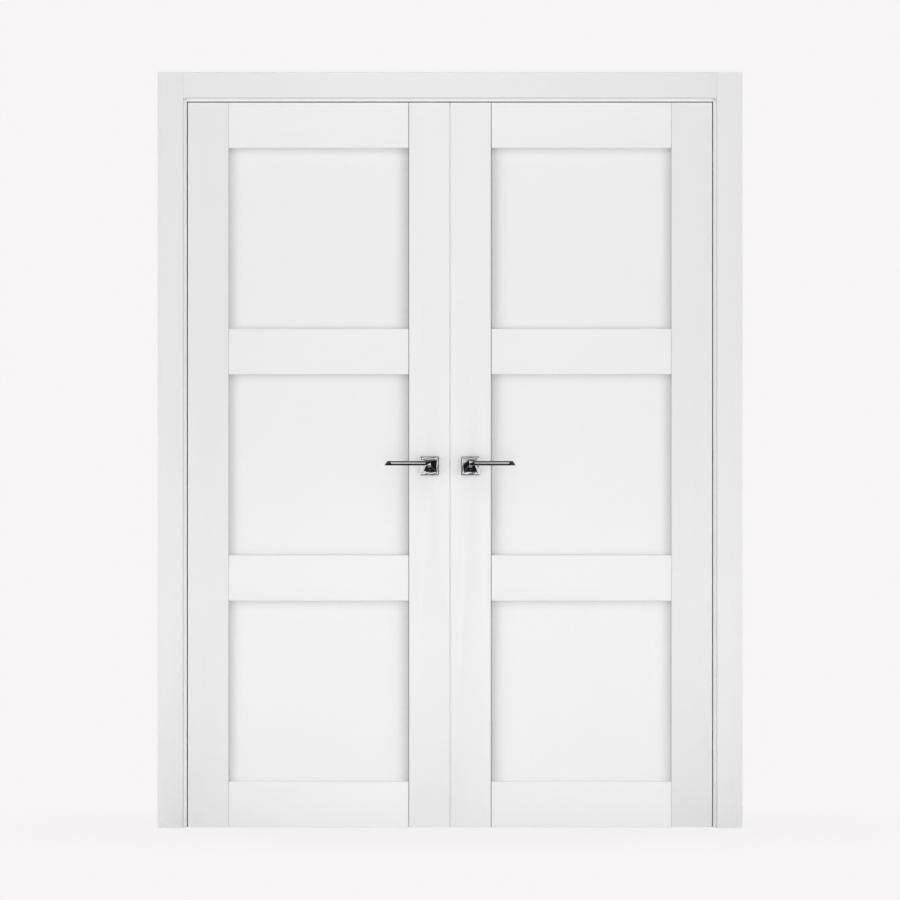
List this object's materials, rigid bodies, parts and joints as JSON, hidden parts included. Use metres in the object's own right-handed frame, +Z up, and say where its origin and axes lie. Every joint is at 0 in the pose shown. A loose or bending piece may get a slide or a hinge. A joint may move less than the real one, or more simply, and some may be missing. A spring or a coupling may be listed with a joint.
{
  "type": "french doors",
  "caption": "Pair of white panelled inner doors in a cased frame, hung on concealed hinges, with levers that work a latch and two shoot bolts.",
  "frame": {"origin": "on the floor, at the middle of the overall width and depth", "axes": "-Y towards the viewer in the picture, which is the side the leaves open to; +Z up; +X to the viewer's right"},
  "size_m": [1.639, 0.1802, 2.119],
  "materials": {
    "frame_white": "smooth white matt film over a wooden core",
    "casing_white": "smooth white matt film over a wooden core",
    "leaf_white": "smooth white matt film over a wooden core",
    "panel_white": "smooth white matt film over a board",
    "gasket_rubber": "soft grey-olive strip",
    "seal_white": "soft white strip",
    "chrome": "polished",
    "hinge_metal": "matt cast",
    "steel": "satin"
  },
  "bodies": {
    "frame": {"jamb_left": "frame_white", "jamb_right": "frame_white", "jamb_head": "frame_white", "casing_front_left": "casing_white", "casing_front_right": "casing_white", "casing_front_head": "casing_white", "casing_back_left": "casing_white", "casing_back_right": "casing_white", "casing_back_head": "casing_white", "gasket_left": "gasket_rubber", "gasket_right": "gasket_rubber", "gasket_head": "gasket_rubber", "hinge_cups_jamb": "hinge_metal", "head_keep": "steel"},
    "leaf_left": {"hinge_stile_left": "leaf_white", "lock_stile_left": "leaf_white", "rail_bottom_left": "leaf_white", "rail_lower_left": "leaf_white", "rail_upper_left": "leaf_white", "rail_top_left": "leaf_white", "panel_bottom_left": "panel_white", "panel_middle_left": "panel_white", "panel_top_left": "panel_white", "meeting_seal_left": "seal_white", "faceplate_left": "steel", "roses_left": "chrome", "hinge_cups_leaf_left": "hinge_metal", "bolt_case_left": "steel"},
    "leaf_right": {"hinge_stile_right": "leaf_white", "lock_stile_right": "leaf_white", "rail_bottom_right": "leaf_white", "rail_lower_right": "leaf_white", "rail_upper_right": "leaf_white", "rail_top_right": "leaf_white", "panel_bottom_right": "panel_white", "panel_middle_right": "panel_white", "panel_top_right": "panel_white", "meeting_seal_right": "seal_white", "faceplate_right": "steel", "roses_right": "chrome", "hinge_cups_leaf_right": "hinge_metal", "lock_case_right": "steel"},
    "lever_left": {"lever_front_left": "chrome", "lever_back_left": "chrome", "spindle_left": "steel", "follower_left": "steel"},
    "lever_right": {"lever_front_right": "chrome", "lever_back_right": "chrome", "spindle_right": "steel", "follower_right": "steel"},
    "latch": {"latch_bolt": "steel"},
    "bolt_top": {"shoot_bolt_top": "steel"},
    "bolt_bottom": {"shoot_bolt_bottom": "steel"},
    "arms_jamb_left": {"hinge_arms_jamb_left": "hinge_metal"},
    "arms_leaf_left": {"hinge_arms_leaf_left": "hinge_metal"},
    "arms_jamb_right": {"hinge_arms_jamb_right": "hinge_metal"},
    "arms_leaf_right": {"hinge_arms_leaf_right": "hinge_metal"}
  },
  "joints": [
    {"name": "leaf_left_swing", "type": "hinge", "parent": "frame", "child": "leaf_left", "pos_m": [-0.737, -0.04335, 1.018], "axis": [0, 0, -1], "range_deg": [0, 110]},
    {"name": "leaf_right_swing", "type": "hinge", "parent": "frame", "child": "leaf_right", "pos_m": [0.737, -0.04335, 1.018], "axis": [0, 0, 1], "range_deg": [0, 110]},
    {"name": "lever_left_turn", "type": "hinge", "parent": "leaf_left", "child": "lever_left", "pos_m": [-0.0575, -0.02285, 1.015], "axis": [0, 1, 0], "range_deg": [0, 45]},
    {"name": "lever_right_turn", "type": "hinge", "parent": "leaf_right", "child": "lever_right", "pos_m": [0.0575, -0.02285, 1.015], "axis": [0, 1, 0], "range_deg": [0, 45], "stiffness_Nm_per_rad": 1.5, "springref_deg": -17.19},
    {"name": "latch_slide", "type": "slide", "parent": "leaf_right", "child": "latch", "axis": [1, 0, 0], "range_m": [0, 0.012]},
    {"name": "bolt_top_slide", "type": "slide", "parent": "leaf_left", "child": "bolt_top", "axis": [0, 0, 1], "range_m": [0, 0.01301]},
    {"name": "bolt_bottom_slide", "type": "slide", "parent": "leaf_left", "child": "bolt_bottom", "axis": [0, 0, -1], "range_m": [0, 0.01301]},
    {"name": "arms_jamb_left_turn", "type": "hinge", "parent": "frame", "child": "arms_jamb_left", "pos_m": [-0.7425, -0.03085, 1.018], "axis": [0, 0, -1], "range_deg": [0, 99.61]},
    {"name": "arms_leaf_left_turn", "type": "hinge", "parent": "leaf_left", "child": "arms_leaf_left", "pos_m": [-0.7315, -0.03085, 1.018], "axis": [0, 0, 1], "range_deg": [0, 99.61]},
    {"name": "arms_jamb_right_turn", "type": "hinge", "parent": "frame", "child": "arms_jamb_right", "pos_m": [0.7425, -0.03085, 1.018], "axis": [0, 0, 1], "range_deg": [0, 99.61]},
    {"name": "arms_leaf_right_turn", "type": "hinge", "parent": "leaf_right", "child": "arms_leaf_right", "pos_m": [0.7315, -0.03085, 1.018], "axis": [0, 0, -1], "range_deg": [0, 99.61]}
  ],
  "couplings": [
    {"joint": "latch_slide", "follows": "lever_right_turn", "m_per_rad": 0.015279},
    {"joint": "bolt_top_slide", "follows": "lever_left_turn", "m_per_rad": 0.016566},
    {"joint": "bolt_bottom_slide", "follows": "lever_left_turn", "m_per_rad": 0.016566},
    {"joint": "arms_jamb_left_turn", "follows": "leaf_left_swing", "ratio": 0.9051},
    {"joint": "arms_leaf_left_turn", "follows": "leaf_left_swing", "ratio": 0.9051},
    {"joint": "arms_jamb_right_turn", "follows": "leaf_right_swing", "ratio": 0.9051},
    {"joint": "arms_leaf_right_turn", "follows": "leaf_right_swing", "ratio": 0.9051}
  ]
}
